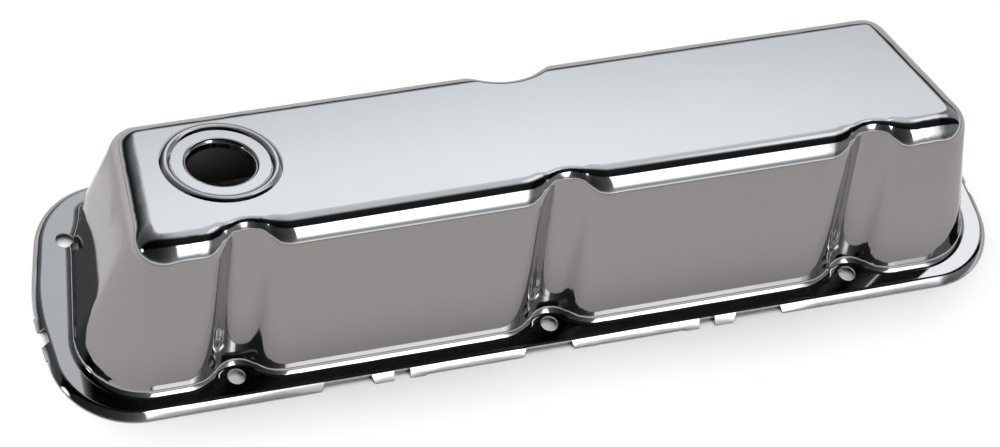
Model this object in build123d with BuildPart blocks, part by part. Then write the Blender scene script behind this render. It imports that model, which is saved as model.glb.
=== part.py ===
"""Valve cover of a small-block V8: one sheet of steel, deep-drawn and chromed.

The sheet is what lies between two closed forms: the outside of the cover, and the same form
drawn one sheet thickness further in. X runs along the engine, with the breather hole at -X.
-Y is the tall exhaust side, +Z is up, and the lip's deepest tabs stand on Z = 0.
"""

from build123d import *
from math import cos, radians, sin, tan
import os

# ---- Driving dimensions, millimetres and degrees -------------------------------------------

SHEET = 1.2

# Flange: the flat rail that the bolts clamp, measured to the crease where the lip turns down
FLANGE_WIDTH = 124.0
FLANGE_LENGTH = 461.6
FLANGE_END_SLANT = 17.0
FLANGE_END_CREASE = 4.3
FLANGE_EASE_RADIUS = 90.0
FLANGE_FRONT_RADIUS = 34.0
FLANGE_BACK_RADIUS = 36.0

# Lip: the flared rim below the flange, with deeper tabs beside the gasket slots
LIP_FLARE = 37.0
LIP_BEND_RADIUS = 2.6
LIP_DROP = 3.3
TAB_DROP = 4.4
TAB_WIDTH = 7.5
SMALL_TAB_WIDTH = 11.6
SLOT_WIDTH = 8.0
SLOT_X = 76.0
END_SLOT_Y = -13.2
GAP_WIDTH = 21.2
MIDDLE_GAP_X = -3.7
GAP_END_SLANT = 35.0

# Dome foot: where the walls would meet the flange's upper face with no fillet
FOOT_FRONT_RAIL = 8.3
FOOT_BACK_RAIL = 8.0
FOOT_END_RAIL = 15.4
FOOT_END_SLANT = 13.8
FOOT_FRONT_RADIUS = 29.0
FOOT_BACK_RADIUS = 18.2
FOOT_FILLET = 3.4

# Crown: the flat top, tilted down toward the back
CROWN_HEIGHT = 75.7
CROWN_TILT = 14.7
FRONT_DRAFT = 13.7
BACK_DRAFT = 1.1
END_DRAFT = 12.4
CROWN_END_SLANT = 9.4
CROWN_FRONT_RADIUS = 14.0
CROWN_BACK_RADIUS = 12.4
CROWN_FILLET = 11.2

# Bolt holes and the scallops that clear the bolt heads
BOLT_HOLE = 8.4
FRONT_BOLT_PITCH = 152.4
BOLT_EDGE = 10.5
END_BOLT_EDGE = 21.2
END_BOLT_Y = 35.5
SCALLOP_FILLET = 4.8
FRONT_SCALLOP_RADIUS = 11.0
FRONT_SCALLOP_DEPTH = 9.5
BACK_SCALLOP_RADIUS = 30.0
BACK_SCALLOP_DEPTH = 9.0
CORNER_RELIEF_RADIUS = 60.0
CORNER_RELIEF_GAP = 4.6
CORNER_RELIEF_TURN = 56.5
CORNER_RELIEF_FILLET = 4.0

# Breather: a rolled hole on a flat seat inside a raised bead
BREATHER_FROM_END = 80.3
BREATHER_Y = 17.2
BREATHER_BORE = 31.0
BREATHER_ROLL = 2.0
BREATHER_COLLAR = 4.5
BEAD_DIAMETER = 50.6
BEAD_RADIUS = 3.4
BEAD_HEIGHT = 1.3

# ---- What follows from them ----------------------------------------------------------------

FLANGE_TOP = TAB_DROP
RAIL = FLANGE_WIDTH / 2
LIP_TURN = 90.0 - LIP_FLARE
CLEAR = 20.0
TINY = 0.001


def slope(angle):
    return tan(radians(angle))


def leaning(x, y, z, lean, turn=0.0):
    """The plane through a point whose normal leans from +Z toward +Y, then turns about Z."""
    return Plane(origin=(x, y, z)).rotated((0, 0, turn)).rotated((-lean, 0, 0))


def trapezoid(plane, front, back, end_x, end_slope, front_radius, back_radius):
    """A rounded trapezoid whose ends cross the plane's Y = 0 at +-end_x."""
    front_x = end_x - end_slope * front
    back_x = end_x - end_slope * back
    corners = [(-front_x, front), (front_x, front), (back_x, back), (-back_x, back)]
    with BuildSketch(plane) as outline:
        with BuildLine():
            Polyline(*corners, close=True)
        make_face()
        fillet(outline.vertices().group_by(Axis.Y)[0], front_radius)
        fillet(outline.vertices().group_by(Axis.Y)[-1], back_radius)
    return outline.sketch


def flange_outline(plane, inset):
    """The crease line round the flange, or the line that far inside it."""
    end = FLANGE_LENGTH / 2
    back_x = end - slope(FLANGE_END_SLANT) * (RAIL - FLANGE_END_CREASE)
    half = [(end, -RAIL), (end, FLANGE_END_CREASE), (back_x, RAIL)]
    with BuildSketch(plane) as outline:
        with BuildLine():
            Polyline(*half, *[(-x, y) for x, y in reversed(half)], close=True)
        make_face()
        fillet(outline.vertices().group_by(Axis.Y)[0], FLANGE_FRONT_RADIUS)
        fillet(outline.vertices().group_by(Axis.Y)[-1], FLANGE_BACK_RADIUS)
        creases = outline.vertices().filter_by(lambda v: abs(v.Y - FLANGE_END_CREASE) < TINY)
        fillet(creases, FLANGE_EASE_RADIUS)
        if inset:
            offset(amount=-inset, mode=Mode.REPLACE)
    return outline.sketch


def wall_inset(draft, inset):
    """How far in a wall's foot moves, on the inset flange face, for the same sheet."""
    return inset / cos(radians(draft)) - inset * slope(draft)


def dome_sections(inset):
    """The outlines of the dome at the flange face and at the crown plane."""
    base = FLANGE_TOP - inset
    tilt = cos(radians(CROWN_TILT))
    top = FLANGE_TOP + CROWN_HEIGHT - inset / tilt
    height = top - base

    front = RAIL - FOOT_FRONT_RAIL - wall_inset(FRONT_DRAFT, inset)
    back = RAIL - FOOT_BACK_RAIL - wall_inset(BACK_DRAFT, inset)
    end = FLANGE_LENGTH / 2 - FOOT_END_RAIL - wall_inset(END_DRAFT, inset)
    foot = trapezoid(
        Plane.XY.offset(base), -front, back, end, slope(FOOT_END_SLANT),
        FOOT_FRONT_RADIUS - inset, FOOT_BACK_RADIUS - inset,
    )

    crown_front = (front - height * slope(FRONT_DRAFT)) / (1 + slope(CROWN_TILT) * slope(FRONT_DRAFT))
    crown_back = (back - height * slope(BACK_DRAFT)) / (1 - slope(CROWN_TILT) * slope(BACK_DRAFT))
    crown = trapezoid(
        leaning(0, 0, top, CROWN_TILT), -crown_front / tilt, crown_back / tilt,
        end - height * slope(END_DRAFT), slope(CROWN_END_SLANT) * tilt,
        CROWN_FRONT_RADIUS - inset, CROWN_BACK_RADIUS - inset,
    )
    return foot, crown


def end_bolts():
    """The bolt hole at each back corner."""
    x = FLANGE_LENGTH / 2 - END_BOLT_EDGE
    return [(-x, END_BOLT_Y), (x, END_BOLT_Y)]


def bolt_places():
    """Every bolt hole's centre: three along the front, one at each back corner, one behind."""
    front = [(x, BOLT_EDGE - RAIL) for x in (-FRONT_BOLT_PITCH, 0, FRONT_BOLT_PITCH)]
    return front + end_bolts() + [(0, RAIL - BOLT_EDGE)]


def scallops(inset):
    """(plane, radius) of each scallop's cylinder, whose axis runs up along its wall."""
    front_y = FOOT_FRONT_RAIL - RAIL + FRONT_SCALLOP_DEPTH - FRONT_SCALLOP_RADIUS
    back_y = RAIL - FOOT_BACK_RAIL - BACK_SCALLOP_DEPTH + BACK_SCALLOP_RADIUS
    cuts = [
        (leaning(x, front_y, FLANGE_TOP, FRONT_DRAFT), FRONT_SCALLOP_RADIUS)
        for x in (-FRONT_BOLT_PITCH, 0, FRONT_BOLT_PITCH)
    ]
    cuts.append((leaning(0, back_y, FLANGE_TOP, -BACK_DRAFT), BACK_SCALLOP_RADIUS))
    return [(plane, radius + inset) for plane, radius in cuts]


def corner_reliefs():
    """The axes of the upright hollows that clear the two back corner bolts."""
    away = CORNER_RELIEF_RADIUS - CORNER_RELIEF_GAP
    right = away * sin(radians(CORNER_RELIEF_TURN))
    back = away * cos(radians(CORNER_RELIEF_TURN))
    return [(x + (right if x > 0 else -right), y + back) for x, y in end_bolts()]


def hollow_rims(solid, radii, low):
    """The edges above a height round the hollows that were cut with these radii."""
    hollows = solid.faces().filter_by(
        lambda f: f.geom_type == GeomType.CYLINDER and any(abs(f.radius - r) < TINY for r in radii)
    )
    rims = [edge for face in hollows for edge in face.edges()]
    return [edge for edge in rims if edge.center().Z > low + TINY]


def form(inset):
    """The cover's outside, or for an inset of one sheet its inside, as a closed solid."""
    base = FLANGE_TOP - inset
    crown_seat = leaning(0, 0, FLANGE_TOP + CROWN_HEIGHT, CROWN_TILT)
    with BuildPart() as solid:
        # The dome: drafted walls from the foot to the tilted crown
        loft(dome_sections(inset), ruled=True)
        fillet(solid.faces().sort_by(Axis.Z)[-1].edges(), CROWN_FILLET - inset)

        # Scallops run the full height of the walls and over the crown's edge
        walls = scallops(inset)
        for plane, radius in walls:
            with BuildSketch(plane.offset(-CLEAR)):
                Circle(radius)
            extrude(amount=CROWN_HEIGHT + 2 * CLEAR, mode=Mode.SUBTRACT)
        fillet(hollow_rims(solid, [radius for _, radius in walls], base), SCALLOP_FILLET - inset)

        # Each back corner is hollowed upright beside its bolt, up to where the corner leans in
        relief = CORNER_RELIEF_RADIUS + inset
        with BuildSketch(Plane.XY.offset(base)):
            with Locations(*corner_reliefs()):
                Circle(relief)
        extrude(amount=CROWN_HEIGHT, mode=Mode.SUBTRACT)
        fillet(hollow_rims(solid, [relief], base), CORNER_RELIEF_FILLET - inset)

        # The bead round the breather seat
        depth = BEAD_RADIUS - BEAD_HEIGHT
        at = crown_seat.offset(-depth)
        with Locations(at.location * breather_place()):
            Torus(BEAD_DIAMETER / 2, BEAD_RADIUS - inset)

        # The flange, with its lip flaring down all the way round
        lip_inset = inset * slope(LIP_TURN / 2)
        extrude(flange_outline(Plane.XY.offset(base), lip_inset), amount=-base, taper=-LIP_FLARE)
        deck = solid.faces().filter_by(Axis.Z).filter_by(lambda f: abs(f.center().Z - base) < TINY)
        fillet(deck[0].inner_wires()[0].edges(), FOOT_FILLET + inset)
        deck = solid.faces().filter_by(Axis.Z).filter_by(lambda f: abs(f.center().Z - base) < TINY)
        fillet(deck[0].outer_wire().edges(), LIP_BEND_RADIUS - inset)
    return solid.part


def breather_place():
    """Where the breather's axis stands, on the crown's own plane."""
    x = BREATHER_FROM_END - FLANGE_LENGTH / 2
    return Location((x, BREATHER_Y / cos(radians(CROWN_TILT)), 0))


def breather_roll():
    """The sheet rolled down round the breather hole, as a ring about the bore's axis."""
    bore = BREATHER_BORE / 2
    with BuildPart() as ring:
        with BuildSketch(Plane.XZ):
            with BuildLine():
                outer = JernArc((bore + BREATHER_ROLL, 0), (-1, 0), BREATHER_ROLL, 90)
                down = Line(outer @ 1, (bore, -BREATHER_COLLAR))
                foot = Line(down @ 1, (bore + SHEET, -BREATHER_COLLAR))
                up = Line(foot @ 1, (bore + SHEET, -BREATHER_ROLL))
                inner = JernArc(up @ 1, (0, 1), BREATHER_ROLL - SHEET, -90)
                Line(inner @ 1, outer @ 0)
            make_face()
        revolve(axis=Axis.Z)
    return ring.part


def tab_windows():
    """Boxes round the stretches of lip that reach down to the tabs' full depth."""
    edge = SLOT_WIDTH / 2
    spans = []
    for side in (-1, 1):
        for start, end in ((-edge - TAB_WIDTH, -edge), (edge, edge + SMALL_TAB_WIDTH)):
            spans.append(sorted((side * (SLOT_X + start), side * (SLOT_X + end))))
    with BuildPart() as windows:
        for low, high in spans:
            with Locations(((low + high) / 2, 0, 0)):
                Box(high - low, FLANGE_WIDTH + CLEAR, FLANGE_TOP * 2)
        with Locations((0, END_SLOT_Y, 0)):
            Box(FLANGE_LENGTH + CLEAR, SLOT_WIDTH + 2 * TAB_WIDTH, FLANGE_TOP * 2)
    return windows.part


def lip_cuts():
    """What is cut away from the lip: the gasket slots, and the gaps with their slanted ends."""
    gap_x = SLOT_X + SLOT_WIDTH / 2 + SMALL_TAB_WIDTH + GAP_WIDTH / 2
    reach = FLANGE_TOP + SHEET
    with BuildPart() as cuts:
        for side in (-1, 1):
            wall = Plane.XZ.offset(side * RAIL)
            with BuildSketch(wall):
                for x in (-gap_x, MIDDLE_GAP_X, gap_x):
                    with BuildLine():
                        half = GAP_WIDTH / 2
                        low = half + FLANGE_TOP * slope(GAP_END_SLANT)
                        Polyline(
                            (x - low, -SHEET), (x + low, -SHEET), (x + half, reach),
                            (x - half, reach), close=True,
                        )
                    make_face()
                with Locations((-SLOT_X, 0), (SLOT_X, 0)):
                    Rectangle(SLOT_WIDTH, reach * 2)
            extrude(amount=side * CLEAR)
        for side in (-1, 1):
            with Locations((side * (FLANGE_LENGTH / 2 + CLEAR / 2), END_SLOT_Y, 0)):
                Box(CLEAR, SLOT_WIDTH, reach * 2)
    return cuts.part


crown_breather = leaning(0, 0, FLANGE_TOP + CROWN_HEIGHT, CROWN_TILT).location * breather_place()

with BuildPart() as low_band:
    with Locations((0, 0, (TAB_DROP - LIP_DROP) / 2)):
        Box(FLANGE_LENGTH + CLEAR, FLANGE_WIDTH + CLEAR, TAB_DROP - LIP_DROP)
    add(tab_windows(), mode=Mode.SUBTRACT)

with BuildPart() as cover_shell:
    add(form(0))
    add(form(SHEET), mode=Mode.SUBTRACT)

    # The lip's lower edge, its slots and its gaps
    add(low_band.part, mode=Mode.SUBTRACT)
    add(lip_cuts(), mode=Mode.SUBTRACT)

    # Bolt holes through the flange
    above = FLANGE_TOP + FOOT_FILLET
    with Locations(*[(x, y, above) for x, y in bolt_places()]):
        Hole(BOLT_HOLE / 2, depth=above)

    # The breather hole, its edge rolled down into the cover
    with Locations(crown_breather):
        Cylinder(BREATHER_BORE / 2 + BREATHER_ROLL, BREATHER_COLLAR, mode=Mode.SUBTRACT)
        add(breather_roll())

cover_shell.part.label = "cover_shell"

os.makedirs("parts", exist_ok=True)
export_step(cover_shell.part, "parts/cover_shell.step")
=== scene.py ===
"""Studio scene for a chromed steel valve cover: one drawn shell on a pale floor."""

import math

import bmesh
import bpy
import numpy as np
from mathutils import Matrix, Vector
from mathutils.bvhtree import BVHTree


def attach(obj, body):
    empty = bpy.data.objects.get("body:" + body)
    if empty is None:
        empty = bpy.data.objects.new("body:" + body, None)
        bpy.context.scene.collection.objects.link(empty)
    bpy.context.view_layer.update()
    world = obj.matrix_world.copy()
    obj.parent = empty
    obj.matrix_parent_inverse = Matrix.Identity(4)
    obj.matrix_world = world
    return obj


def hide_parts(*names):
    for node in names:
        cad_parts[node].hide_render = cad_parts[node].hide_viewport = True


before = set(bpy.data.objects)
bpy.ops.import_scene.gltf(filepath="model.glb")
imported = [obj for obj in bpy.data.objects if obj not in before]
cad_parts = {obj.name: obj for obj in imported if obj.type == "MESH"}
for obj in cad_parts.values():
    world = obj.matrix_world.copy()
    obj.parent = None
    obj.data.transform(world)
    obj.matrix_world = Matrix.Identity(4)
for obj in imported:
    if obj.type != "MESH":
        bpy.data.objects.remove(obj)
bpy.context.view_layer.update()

# ---- Camera, in metres and degrees; focal length and shifts in image pixels -----------------

LOOK_AT = Vector((0.0, 0.0085, 0.0044))
CAMERA_DISTANCE = 2.066247
CAMERA_TURN = -33.591
CAMERA_TILT = 52.651
CAMERA_ROLL = 18.763
FOCAL_PIXELS = 4394.217
IMAGE_WIDTH = 1000
SENSOR_WIDTH = 36.0
SHIFT_LEFT = 9.206
SHIFT_DOWN = 4.146
CLIP_START = 0.05
CLIP_END = 50.0

# ---- Mesh of the shell, in metres and degrees ----------------------------------------------

# Points closer than this are one point, and edges sharper than this angle stay creases
WELD = 1e-6
CREASE_ANGLE = 28.0

# Longest triangle side, over the cover and beside the front scallops
COARSE_SIDE = 0.020
FINE_SIDE = 0.0048

# How far a new point rises onto the curve that the normals at its side's two ends describe
LIFT = 0.375

# Neighbours whose normals agree this well lie in one flat; large flats keep one exact normal
FLATNESS = 0.99999
LEAST_FLAT = 0.0015
FLAT_DEPTH = 2e-6
FLAT_TURN = 0.98

# How far normals are evened out: everywhere, and at the crown's round corners
SOFTENING = 0.0015
CORNER_SOFTENING = 0.004
CORNER_FROM = (0.172, 0.190)
CORNER_ABOVE = (0.040, 0.055)
HEAT_STEPS = 30
STIFFEST = 200.0

# Front scallops: round hollows in the CAD, whose rims roll in more softly on the pressing
SCALLOP_X = (-0.1524, 0.0, 0.1524)
SCALLOP_REACH = 0.027
SCALLOP_DEPTH = 0.0095
SCALLOP_RADIUS = 0.011
SCALLOP_RIM = 0.0048
SOFT_RADIUS = 0.0135
FOOT_SHOULDER = 0.021
CROWN_SHOULDER = 0.0135
SHOULDER_HEIGHT = 0.045

# The soft rims fade in across the flange, and out again along the leaning crown
FADE_IN = (-0.0615, -0.0550)
FADE_OUT = (-0.0260, -0.0130)
CROWN_TILT = 14.7
CROWN_RISE = (0.03, 0.06)

# An inside face has the sheet above a point this far in front of it
PROBE = 0.0004

# Step for measuring slopes, and the least length, doubled area and push that are divided by
STEP = 1e-6
LEAST_LENGTH = 1e-12
LEAST_AREA = 1e-14
LEAST_PUSH = 1e-30

# ---- Finishes: colours, noise as (scale, detail), relief as (strength, distance) -------------

CHROME_TOP = (0.62, 0.62, 0.63, 1.0)
# The steep walls' darker chrome base colour is painted shade, blended in towards the top by the
# upward normal
CHROME_WALL_PAINTED_SHADE = (0.48, 0.478, 0.48, 1.0)
WALL_SHADE_BLEND = (0.30, 0.55)
CHROME_HAZE = (14.0, 4.0)
CHROME_ROUGHNESS = (0.035, 0.075)
CHROME_WAVES = (22.0, 1.0)
CHROME_RELIEF = (0.012, 0.001)
PLATING_DARK = (0.40, 0.385, 0.36, 1.0)
PLATING_LIGHT = (0.52, 0.51, 0.50, 1.0)
PLATING_CLOUD = (9.0, 6.0)
PLATING_ROUGHNESS = (0.30, 0.48)
PLATING_GRAIN = (900.0, 2.0)
PLATING_RELIEF = (0.12, 0.0004)
PAPER = (0.93, 0.93, 0.93, 1.0)
# The darker, warmer paper colour at a low angle is painted shade, which the chrome walls show in
# their reflection of the floor
PAPER_LOW_PAINTED_SHADE = (0.50, 0.477, 0.465, 1.0)
LOW_ANGLE_SHADE_FACING = (0.24, 0.36)

# ---- Studio, in metres, degrees and watts --------------------------------------------------

FLOOR = 6.0
FILL_PLACE = (-0.2, 0.6, 1.9)
FILL_SIZE = (2.0, 1.6)
FILL_POWER = 50.0

# Sky brightness. Sweep runs in degrees from the horizon behind (0) over the top to the horizon in
# front (180); across runs from the left (-1) to the right (1); height from below (-1) to above (1).
HALF_TURN = (0.0, 180.0)
WHOLE = (-1.0, 1.0)

# A wide cool glow behind, nearly none overhead, and a faint one in front
COOL = (0.955, 1.0, 1.03)
GLOW_SWEEP = (
    (0.0, 0.0), (14.0, 0.02), (22.0, 0.55), (25.9, 0.92), (27.4, 1.35), (28.6, 1.2), (31.0, 1.02),
    (35.0, 0.93), (41.0, 0.82), (48.0, 0.78), (58.0, 0.77), (62.0, 0.72), (65.0, 0.5), (69.0, 0.18),
    (73.0, 0.02), (102.0, 0.015), (108.0, 0.2), (150.0, 0.3), (165.0, 0.4), (180.0, 0.5),
)
GLOW_ACROSS = (
    (-1.0, 0.08), (-0.5, 0.1), (-0.25, 0.17), (0.0, 0.32), (0.17, 0.7), (0.26, 0.93), (0.34, 1.0),
    (0.385, 0.93), (0.43, 0.8), (0.47, 0.74), (0.51, 0.3), (0.54, 0.2), (0.6, 0.3), (0.8, 0.4),
)

# A bright long box above the front, a dimmer one behind to the right, a small lamp at the left
BOX_LEVEL = 3.2
BOX_SWEEP = ((103.5, 0.0), (106.0, 1.0), (138.0, 1.0), (147.0, 0.7), (156.0, 0.2), (163.0, 0.0))
BOX_ACROSS = (
    (0.18, 0.0), (0.22, 1.0), (0.38, 1.0), (0.43, 0.45), (0.5, 0.15), (0.6, 0.04), (1.0, 0.03),
)
SIDE_LEVEL = 0.7
SIDE_SWEEP = ((48.0, 0.0), (53.0, 1.0), (63.0, 1.0), (67.0, 0.0))
SIDE_ACROSS = ((0.36, 0.0), (0.4, 1.0), (0.6, 1.0), (0.68, 0.0))
LEFT_LEVEL = 3.0
LEFT_WAY = (-0.955, -0.03, 0.26)
LEFT_RIM = (0.984, 0.991)

# A pale band all round, at the horizon and below it
LOW_BAND = ((-0.2, 0.8), (0.03, 0.75), (0.16, 0.02), (0.3, 0.0))


# ---- Small helpers -------------------------------------------------------------------------

def node(tree, kind, **settings):
    """A new node, with its settings."""
    made = tree.nodes.new(kind)
    for name, value in settings.items():
        setattr(made, name, value)
    return made


def link(tree, source, target):
    tree.links.new(source, target)


def new_material(name):
    """An empty material, its node tree and its output node."""
    material = bpy.data.materials.new(name)
    material.use_nodes = True
    tree = material.node_tree
    tree.nodes.clear()
    return material, tree, node(tree, "ShaderNodeOutputMaterial")


def noise(tree, coords, scale, detail):
    """Noise in the object's own coordinates, from 0 to 1."""
    made = node(tree, "ShaderNodeTexNoise")
    made.inputs["Scale"].default_value = scale
    made.inputs["Detail"].default_value = detail
    link(tree, coords.outputs["Object"], made.inputs["Vector"])
    return made.outputs["Fac"]


def between(tree, source, low, high):
    """The source, which runs from 0 to 1, spread from low to high."""
    spread_out = node(tree, "ShaderNodeMapRange")
    spread_out.inputs["To Min"].default_value = low
    spread_out.inputs["To Max"].default_value = high
    link(tree, source, spread_out.inputs["Value"])
    return spread_out.outputs["Result"]


def blend(tree, source, first, second):
    """A colour that runs from the first to the second as the source runs from 0 to 1."""
    mix = node(tree, "ShaderNodeMix", data_type="RGBA")
    mix.inputs["A"].default_value = first
    mix.inputs["B"].default_value = second
    link(tree, source, mix.inputs["Factor"])
    return mix.outputs["Result"]


def uneven(tree, height, strength, distance):
    """The normal of a surface with a fine relief."""
    bump = node(tree, "ShaderNodeBump")
    bump.inputs["Strength"].default_value = strength
    bump.inputs["Distance"].default_value = distance
    link(tree, height, bump.inputs["Height"])
    return bump.outputs["Normal"]


def stepped(tree, source, start, end):
    """A smooth step from 0 to 1 as the source runs from start to end."""
    step = node(tree, "ShaderNodeMapRange", interpolation_type="SMOOTHSTEP")
    step.inputs["From Min"].default_value = start
    step.inputs["From Max"].default_value = end
    link(tree, source, step.inputs["Value"])
    return step.outputs["Result"]


def curve(tree, stops, span, source):
    """Brightness along a source, as (place, brightness) stops on a ramp over the span."""
    low, high = span
    scaled = node(tree, "ShaderNodeMapRange")
    scaled.inputs["From Min"].default_value = low
    scaled.inputs["From Max"].default_value = high
    link(tree, source, scaled.inputs["Value"])
    band = node(tree, "ShaderNodeValToRGB")
    elements = band.color_ramp.elements
    while len(elements) < len(stops):
        elements.new(0.5)
    for element, (place, level) in zip(elements, stops):
        element.position = (place - low) / (high - low)
        element.color = (level, level, level, 1.0)
    link(tree, scaled.outputs["Result"], band.inputs["Fac"])
    return band.outputs["Color"]


def combine(tree, operation, first, second):
    """Two colours added or multiplied; the second may be a fixed level or tint."""
    made = node(tree, "ShaderNodeVectorMath", operation=operation)
    link(tree, first, made.inputs[0])
    if isinstance(second, float):
        second = (second, second, second)
    if isinstance(second, tuple):
        made.inputs[1].default_value = second
    else:
        link(tree, second, made.inputs[1])
    return made.outputs["Vector"]


# ---- Finishes ------------------------------------------------------------------------------

def metal(name):
    """A material of plain metal, with its shader and its coordinates."""
    material, tree, out = new_material(name)
    shader = node(tree, "ShaderNodeBsdfPrincipled")
    shader.inputs["Metallic"].default_value = 1.0
    link(tree, shader.outputs["BSDF"], out.inputs["Surface"])
    return material, tree, shader, node(tree, "ShaderNodeTexCoord")


def bright_chrome():
    """Polished chrome with faint haze and waviness; its base colour is darker on the steep walls,
    as painted shade.
    """
    material, tree, shader, coords = metal("bright_chrome")
    upward = node(tree, "ShaderNodeSeparateXYZ")
    link(tree, coords.outputs["Normal"], upward.inputs["Vector"])
    # Painted shade: steep walls get the darker base colour, the top the brighter one
    level = stepped(tree, upward.outputs["Z"], *WALL_SHADE_BLEND)
    link(tree, blend(tree, level, CHROME_WALL_PAINTED_SHADE, CHROME_TOP), shader.inputs["Base Color"])
    haze = noise(tree, coords, *CHROME_HAZE)
    link(tree, between(tree, haze, *CHROME_ROUGHNESS), shader.inputs["Roughness"])
    waves = noise(tree, coords, *CHROME_WAVES)
    link(tree, uneven(tree, waves, *CHROME_RELIEF), shader.inputs["Normal"])
    return material


def dull_plating():
    """The inside of the shell: thin plating over the drawn steel, hazy and slightly warm."""
    material, tree, shader, coords = metal("dull_plating")
    cloud = noise(tree, coords, *PLATING_CLOUD)
    link(tree, blend(tree, cloud, PLATING_DARK, PLATING_LIGHT), shader.inputs["Base Color"])
    link(tree, between(tree, cloud, *PLATING_ROUGHNESS), shader.inputs["Roughness"])
    grain = noise(tree, coords, *PLATING_GRAIN)
    link(tree, uneven(tree, grain, *PLATING_RELIEF), shader.inputs["Normal"])
    return material


# ---- The shell's surface -------------------------------------------------------------------

def unit(vectors):
    """The vectors, each cut to a length of one."""
    lengths = np.linalg.norm(vectors, axis=1, keepdims=True)
    return vectors / np.maximum(lengths, LEAST_LENGTH)


def sheet_surface(mesh):
    """Points and triangles of the sheet, joined where it is smooth and parted at its creases."""
    work = bmesh.new()
    work.from_mesh(mesh)
    bmesh.ops.remove_doubles(work, verts=work.verts, dist=WELD)
    bmesh.ops.triangulate(work, faces=work.faces)
    crease = math.radians(CREASE_ANGLE)
    creases = [
        edge for edge in work.edges
        if len(edge.link_faces) != 2 or edge.calc_face_angle(0.0) > crease
    ]
    bmesh.ops.split_edges(work, edges=creases)
    work.verts.index_update()
    points = np.array([vert.co for vert in work.verts])
    triangles = np.array([[vert.index for vert in face.verts] for face in work.faces])
    work.free()
    return points, triangles


def spread(values, triangles, count):
    """Each triangle's value added up at its three points."""
    total = np.zeros((count,) + values.shape[1:])
    for corner in range(3):
        np.add.at(total, triangles[:, corner], values)
    return total


def facings(points, triangles):
    """The way each triangle faces, as long as twice its area."""
    first, second, third = (points[triangles[:, corner]] for corner in range(3))
    return np.cross(second - first, third - first)


def side_pairs(triangles, count):
    """Every side once as a pair of points, which one each triangle's sides are, and their uses."""
    sides = np.sort(triangles[:, [[0, 1], [1, 2], [2, 0]]].reshape(-1, 2), axis=1)
    keys, place, uses = np.unique(
        sides[:, 0] * count + sides[:, 1], return_inverse=True, return_counts=True
    )
    return np.stack([keys // count, keys % count], axis=1), place.reshape(-1, 3), uses


def flat_patches(points, triangles):
    """The flat patch of each triangle, and every patch's doubled area."""
    _, place, uses = side_pairs(triangles, len(points))
    faces = facings(points, triangles)
    area = np.linalg.norm(faces, axis=1)
    owner = np.argsort(place.reshape(-1), kind="stable") // 3
    starts = np.concatenate([[0], np.cumsum(uses)[:-1]])
    double = starts[uses == 2]
    one, other = owner[double], owner[double + 1]
    level = (unit(faces)[one] * unit(faces)[other]).sum(1) > FLATNESS
    one, other = one[level], other[level]
    patch = np.arange(len(triangles))
    while True:
        lowest = patch.copy()
        np.minimum.at(lowest, one, patch[other])
        np.minimum.at(lowest, other, patch[one])
        lowest = lowest[lowest]
        if (lowest == patch).all():
            break
        patch = lowest
    return patch, np.bincount(patch, weights=area, minlength=len(triangles))


def first_normals(points, triangles):
    """Normals of the sheet as drawn, and True for each point that lies in one of its flats."""
    patch, area = flat_patches(points, triangles)
    faces = facings(points, triangles)
    normals = unit(spread(unit(faces) * area[patch][:, None], triangles, len(points)))
    flats = np.zeros(len(points), dtype=bool)
    large = np.flatnonzero(area > 2 * LEAST_FLAT)
    for flat in large[np.argsort(area[large])]:
        inside = patch == flat
        normal = unit(faces[inside].sum(0)[None])[0]
        level = points[triangles[inside][0, 0]] @ normal
        held = (np.abs(points @ normal - level) < FLAT_DEPTH) & (normals @ normal > FLAT_TURN)
        normals[held] = normal
        flats |= held
    return normals, flats


def side_length(places):
    """The longest triangle side allowed at a place: short at the scallops, longer elsewhere."""
    near = np.zeros(len(places), dtype=bool)
    for x in SCALLOP_X:
        near |= np.abs(places[:, 0] - x) < SCALLOP_REACH
    near &= places[:, 1] < 0.0
    return np.where(near, FINE_SIDE, COARSE_SIDE)


def refine(points, normals, flats, triangles):
    """Long sides halved, and each new point lifted onto the curve that its ends describe."""
    while True:
        pairs, place, uses = side_pairs(triangles, len(points))
        start, end = points[pairs[:, 0]], points[pairs[:, 1]]
        middle = (start + end) / 2
        cut = np.linalg.norm(end - start, axis=1) > side_length(middle)
        if not cut.any():
            return points, normals, flats, triangles
        first, second = normals[pairs[:, 0]], normals[pairs[:, 1]]
        rise = ((middle - start) * first).sum(1)[:, None] * first
        rise += ((middle - end) * second).sum(1)[:, None] * second
        lifted = np.where((uses == 2)[:, None], middle - LIFT * rise, middle)
        new = np.full(len(pairs), -1)
        new[cut] = len(points) + np.arange(cut.sum())
        points = np.vstack([points, lifted[cut]])
        normals = np.vstack([normals, unit((first + second)[cut])])
        level = flats[pairs].all(1) & ((first * second).sum(1) > FLATNESS)
        flats = np.concatenate([flats, level[cut]])
        triangles = cut_triangles(points, triangles, new[place])


def cut_triangles(points, triangles, middles):
    """Each triangle parted at the sides that have a middle point, and at no other side."""
    made = []
    cuts = (middles >= 0).sum(1)
    made.append(triangles[cuts == 0])

    one = cuts == 1
    turn = np.argmax(middles[one] >= 0, axis=1)
    a, b, c, middle, _, _ = turned(triangles[one], middles[one], turn)
    made += [np.stack([a, middle, c], 1), np.stack([middle, b, c], 1)]

    two = cuts == 2
    turn = (np.argmax(middles[two] < 0, axis=1) + 1) % 3
    a, b, c, ab, bc, _ = turned(triangles[two], middles[two], turn)
    made.append(np.stack([ab, b, bc], 1))
    across = np.linalg.norm(points[a] - points[bc], axis=1)
    other = np.linalg.norm(points[ab] - points[c], axis=1)
    short = (across < other)[:, None]
    made.append(np.where(short, np.stack([a, ab, bc], 1), np.stack([a, ab, c], 1)))
    made.append(np.where(short, np.stack([a, bc, c], 1), np.stack([ab, bc, c], 1)))

    three = cuts == 3
    a, b, c, ab, bc, ca = turned(triangles[three], middles[three], np.zeros(three.sum(), int))
    for corners in ((a, ab, ca), (ab, b, bc), (ca, bc, c), (ab, bc, ca)):
        made.append(np.stack(corners, 1))
    return np.vstack(made)


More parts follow.
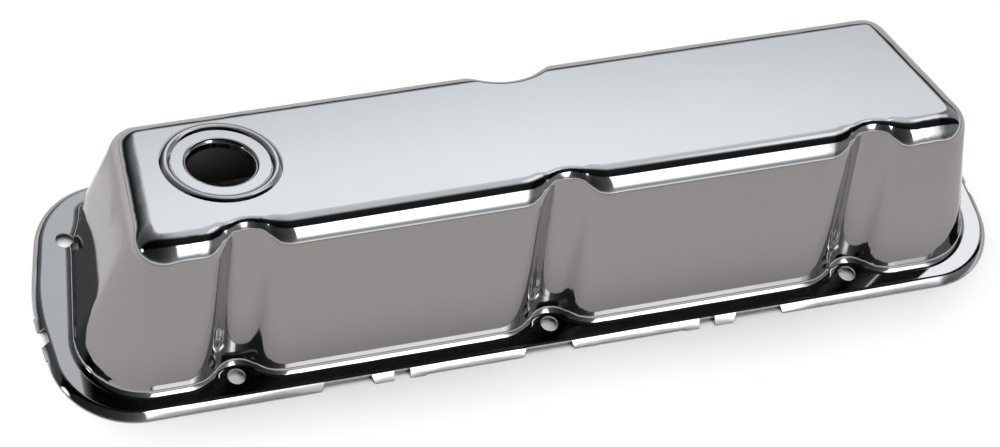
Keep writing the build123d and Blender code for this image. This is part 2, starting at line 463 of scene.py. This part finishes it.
def turned(triangles, middles, turn):
    """Corners a, b, c and side middles ab, bc, ca, counted from the corner that turn names."""
    rows = np.arange(len(triangles))
    corners = [triangles[rows, (turn + step) % 3] for step in range(3)]
    return corners + [middles[rows, (turn + step) % 3] for step in range(3)]


def soften(points, normals, triangles, reach):
    """Normals spread over the surface as heat would, so that reflections run without steps."""
    count = len(points)
    doubled = np.maximum(np.linalg.norm(facings(points, triangles), axis=1), LEAST_AREA)
    mass = spread(doubled / 6, triangles, count)
    ends, weights = [], []
    for corner in range(3):
        tip, one, other = (triangles[:, (corner + step) % 3] for step in range(3))
        lean = ((points[one] - points[tip]) * (points[other] - points[tip])).sum(1) / doubled
        ends.append(np.stack([one, other], 1))
        weights.append(np.clip(lean / 2, 0.0, STIFFEST))
    one, other = np.vstack(ends).T
    weight = np.concatenate(weights) * reach ** 2 / 2
    diagonal = mass + np.bincount(one, weight, count) + np.bincount(other, weight, count)

    def applied(values):
        total = diagonal * values
        total -= np.bincount(one, weight * values[other], count)
        total -= np.bincount(other, weight * values[one], count)
        return total

    return unit(np.stack([settle(applied, mass, diagonal, axis) for axis in normals.T], axis=1))


def settle(applied, mass, diagonal, start):
    """The values that the heat equation gives from the start, by conjugate gradients."""
    value = start.copy()
    rest = mass * value - applied(value)
    way = rest / diagonal
    level = rest @ way
    for _ in range(HEAT_STEPS):
        pushed = applied(way)
        move = level / max(way @ pushed, LEAST_PUSH)
        value += move * way
        rest -= move * pushed
        eased = rest / diagonal
        level, before = rest @ eased, level
        way = eased + way * (level / max(before, LEAST_PUSH))
    return value


def hollow_depth(across, radius, shoulder):
    """Depth of a round hollow whose rims roll into the wall, at a distance from its middle."""
    lean = np.arccos(1.0 - SCALLOP_DEPTH / (radius + shoulder))
    width = (radius + shoulder) * np.sin(lean)
    inner = SCALLOP_DEPTH - radius + np.sqrt(np.maximum(radius ** 2 - across ** 2, 0.0))
    reach = np.clip(width - across, 0.0, None)
    outer = shoulder - np.sqrt(np.maximum(shoulder ** 2 - reach ** 2, 0.0))
    return np.where(across < radius * np.sin(lean), inner, outer)


def ease(value, start, end):
    """A smooth step from 0 at start to 1 at end."""
    part = np.clip((value - start) / (end - start), 0.0, 1.0)
    return part * part * (3.0 - 2.0 * part)


def shoulder_shift(points):
    """How far the wall draws back beside each scallop, where the pressing rolls in softly."""
    x, y, z = points.T
    shoulder = FOOT_SHOULDER + (CROWN_SHOULDER - FOOT_SHOULDER) * ease(z, 0.0, SHOULDER_HEIGHT)
    fade = ease(y, *FADE_IN) * (1.0 - ease(y, *FADE_OUT))
    shift = np.zeros(len(points))
    for middle in SCALLOP_X:
        across = np.abs(x - middle)
        soft = hollow_depth(across, SOFT_RADIUS, shoulder)
        shift += soft - hollow_depth(across, SCALLOP_RADIUS, SCALLOP_RIM)
    return shift * fade


def draw_in(points, normals):
    """The softer shoulders, drawn into the wall and slid along the leaning crown."""
    shift = shoulder_shift(points)
    rates = np.stack(
        [(shoulder_shift(points + STEP * axis) - shift) / STEP for axis in np.eye(3)], axis=1
    )
    path = np.zeros_like(points)
    path[:, 1] = 1.0
    path[:, 2] = -math.tan(math.radians(CROWN_TILT)) * ease(points[:, 2], *CROWN_RISE)
    along = (path * normals).sum(1) / (1.0 + (path * rates).sum(1))
    return points + shift[:, None] * path, unit(normals - rates * along[:, None])


def inside_faces(points, triangles):
    """True for each triangle that has the sheet above it: the hollow side of the cover."""
    tree = BVHTree.FromPolygons(points.tolist(), triangles.tolist())
    centres = points[triangles].mean(axis=1) + unit(facings(points, triangles)) * PROBE
    up = Vector((0.0, 0.0, 1.0))
    return [tree.ray_cast(Vector(centre), up)[0] is not None for centre in centres]


def smooth_normals(points, normals, triangles, flats):
    """Evened normals, more so at the crown's corners, with the flats left exact."""
    corner = ease(np.abs(points[:, 0]), *CORNER_FROM) * ease(points[:, 2], *CORNER_ABOVE)
    softer = soften(points, normals, triangles, CORNER_SOFTENING)
    soft = soften(points, normals, triangles, SOFTENING)
    soft = unit(soft + (softer - soft) * corner[:, None])
    return np.where(flats[:, None], normals, soft)


def welded(points, triangles):
    """The surface with its creases closed again."""
    cells = np.round(points / WELD).astype(np.int64)
    kept, place = np.unique(cells, axis=0, return_inverse=True)
    place = place.reshape(-1)
    joined = np.zeros((len(kept), 3))
    joined[place] = points
    return joined, place[triangles]


def shell_mesh():
    """The CAD sheet as a finer mesh with softer scallops, smooth normals and both finishes."""
    points, triangles = sheet_surface(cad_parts["cover_shell"].data)
    normals, flats = first_normals(points, triangles)
    points, normals, flats, triangles = refine(points, normals, flats, triangles)
    points, normals = draw_in(points, normals)
    normals = smooth_normals(points, normals, triangles, flats)
    inside = inside_faces(points, triangles)
    corner_normals = normals[triangles.reshape(-1)]
    points, triangles = welded(points, triangles)

    mesh = bpy.data.meshes.new("chromed_shell")
    mesh.from_pydata(points.tolist(), [], triangles.tolist())
    mesh.materials.append(bright_chrome())
    mesh.materials.append(dull_plating())
    mesh.polygons.foreach_set("material_index", [int(flag) for flag in inside])
    mesh.polygons.foreach_set("use_smooth", [True] * len(mesh.polygons))
    mesh.normals_split_custom_set(corner_normals.tolist())
    return mesh


def chromed_shell():
    """The drawn shell: bright chrome outside, thin plating inside, creased at its cut edges."""
    shell = bpy.data.objects.new("chromed_shell", shell_mesh())
    bpy.context.scene.collection.objects.link(shell)
    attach(shell, "root")
    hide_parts("cover_shell")


# ---- Studio --------------------------------------------------------------------------------

def pale_paper():
    """White paper whose colour turns darker and warmer at a low angle: painted shade, shown mostly
    in the chrome walls' reflection of the floor.
    """
    material, tree, out = new_material("pale_paper")
    angle = node(tree, "ShaderNodeLayerWeight")
    angle.inputs["Blend"].default_value = 0.5
    mix = node(tree, "ShaderNodeMixShader")
    # Painted shade: the paper's colour darkens at a low viewing angle
    link(tree, stepped(tree, angle.outputs["Facing"], *LOW_ANGLE_SHADE_FACING), mix.inputs["Fac"])
    for place, color in ((1, PAPER), (2, PAPER_LOW_PAINTED_SHADE)):
        paper = node(tree, "ShaderNodeBsdfDiffuse")
        paper.inputs["Color"].default_value = color
        link(tree, paper.outputs["BSDF"], mix.inputs[place])
    link(tree, mix.outputs["Shader"], out.inputs["Surface"])
    return material


def floor():
    """A wide sheet of paper under the cover, that keeps the cover's soft shadow."""
    mesh = bpy.data.meshes.new("studio_floor")
    mesh.from_pydata(
        [(-FLOOR, -FLOOR, 0), (FLOOR, -FLOOR, 0), (FLOOR, FLOOR, 0), (-FLOOR, FLOOR, 0)],
        [], [(0, 1, 2, 3)],
    )
    mesh.materials.append(pale_paper())
    ground = bpy.data.objects.new("studio_floor", mesh)
    bpy.context.scene.collection.objects.link(ground)


def studio_sky():
    """A tent round the cover: a glow behind, lit boxes in front and beside, dark between them."""
    world = bpy.data.worlds.new("studio_sky")
    bpy.context.scene.world = world
    world.use_nodes = True
    tree = world.node_tree
    tree.nodes.clear()
    out = node(tree, "ShaderNodeOutputWorld")
    light = node(tree, "ShaderNodeBackground")
    link(tree, light.outputs["Background"], out.inputs["Surface"])

    way = node(tree, "ShaderNodeTexCoord").outputs["Generated"]
    split = node(tree, "ShaderNodeSeparateXYZ")
    link(tree, way, split.inputs["Vector"])
    sweep = node(tree, "ShaderNodeMath", operation="ARCTAN2")
    link(tree, split.outputs["Z"], sweep.inputs[0])
    link(tree, split.outputs["Y"], sweep.inputs[1])
    degrees = node(tree, "ShaderNodeMath", operation="MULTIPLY")
    degrees.inputs[1].default_value = 180.0 / math.pi
    link(tree, sweep.outputs[0], degrees.inputs[0])

    def panel(along, across, level):
        shape = curve(tree, along, HALF_TURN, degrees.outputs[0])
        shape = combine(tree, "MULTIPLY", shape, curve(tree, across, WHOLE, split.outputs["X"]))
        return combine(tree, "MULTIPLY", shape, level)

    left = node(tree, "ShaderNodeVectorMath", operation="DOT_PRODUCT")
    left.inputs[1].default_value = LEFT_WAY
    link(tree, way, left.inputs[0])
    lamp = stepped(tree, left.outputs["Value"], *LEFT_RIM)

    total = panel(GLOW_SWEEP, GLOW_ACROSS, COOL)
    for light_panel in (
        panel(BOX_SWEEP, BOX_ACROSS, BOX_LEVEL),
        panel(SIDE_SWEEP, SIDE_ACROSS, SIDE_LEVEL),
        combine(tree, "MULTIPLY", lamp, LEFT_LEVEL),
        curve(tree, LOW_BAND, WHOLE, split.outputs["Z"]),
    ):
        total = combine(tree, "ADD", total, light_panel)
    link(tree, total, light.inputs["Color"])


def overhead_fill():
    """A broad soft lamp over the cover, aimed at it, that the chrome itself doesn't show."""
    data = bpy.data.lights.new("overhead_fill", "AREA")
    data.shape = "RECTANGLE"
    data.size, data.size_y = FILL_SIZE
    data.energy = FILL_POWER
    lamp = bpy.data.objects.new("overhead_fill", data)
    lamp.location = FILL_PLACE
    lamp.rotation_euler = (-Vector(FILL_PLACE)).to_track_quat("-Z", "Y").to_euler()
    lamp.visible_glossy = False
    bpy.context.scene.collection.objects.link(lamp)


def camera():
    """The camera, which looks down on the cover from the front left, turned by its roll."""
    turn, tilt, roll = (math.radians(a) for a in (CAMERA_TURN, CAMERA_TILT, CAMERA_ROLL))
    forward = Vector((
        -math.sin(turn) * math.cos(tilt), math.cos(turn) * math.cos(tilt), -math.sin(tilt)
    ))
    level = Vector((math.cos(turn), math.sin(turn), 0.0))
    upward = level.cross(forward)
    right = level * math.cos(roll) + upward * math.sin(roll)
    up = -level * math.sin(roll) + upward * math.cos(roll)
    data = bpy.data.cameras.new("studio_camera")
    data.sensor_width = SENSOR_WIDTH
    data.lens = FOCAL_PIXELS * SENSOR_WIDTH / IMAGE_WIDTH
    data.shift_x = -SHIFT_LEFT / IMAGE_WIDTH
    data.shift_y = -SHIFT_DOWN / IMAGE_WIDTH
    data.clip_start = CLIP_START
    data.clip_end = CLIP_END
    eye = bpy.data.objects.new("studio_camera", data)
    place = LOOK_AT - forward * CAMERA_DISTANCE
    eye.matrix_world = Matrix((
        (right.x, up.x, -forward.x, place.x),
        (right.y, up.y, -forward.y, place.y),
        (right.z, up.z, -forward.z, place.z),
        (0.0, 0.0, 0.0, 1.0),
    ))
    bpy.context.scene.collection.objects.link(eye)
    bpy.context.scene.camera = eye


chromed_shell()
floor()
studio_sky()
overhead_fill()
camera()
bpy.context.scene.view_settings.view_transform = "Standard"
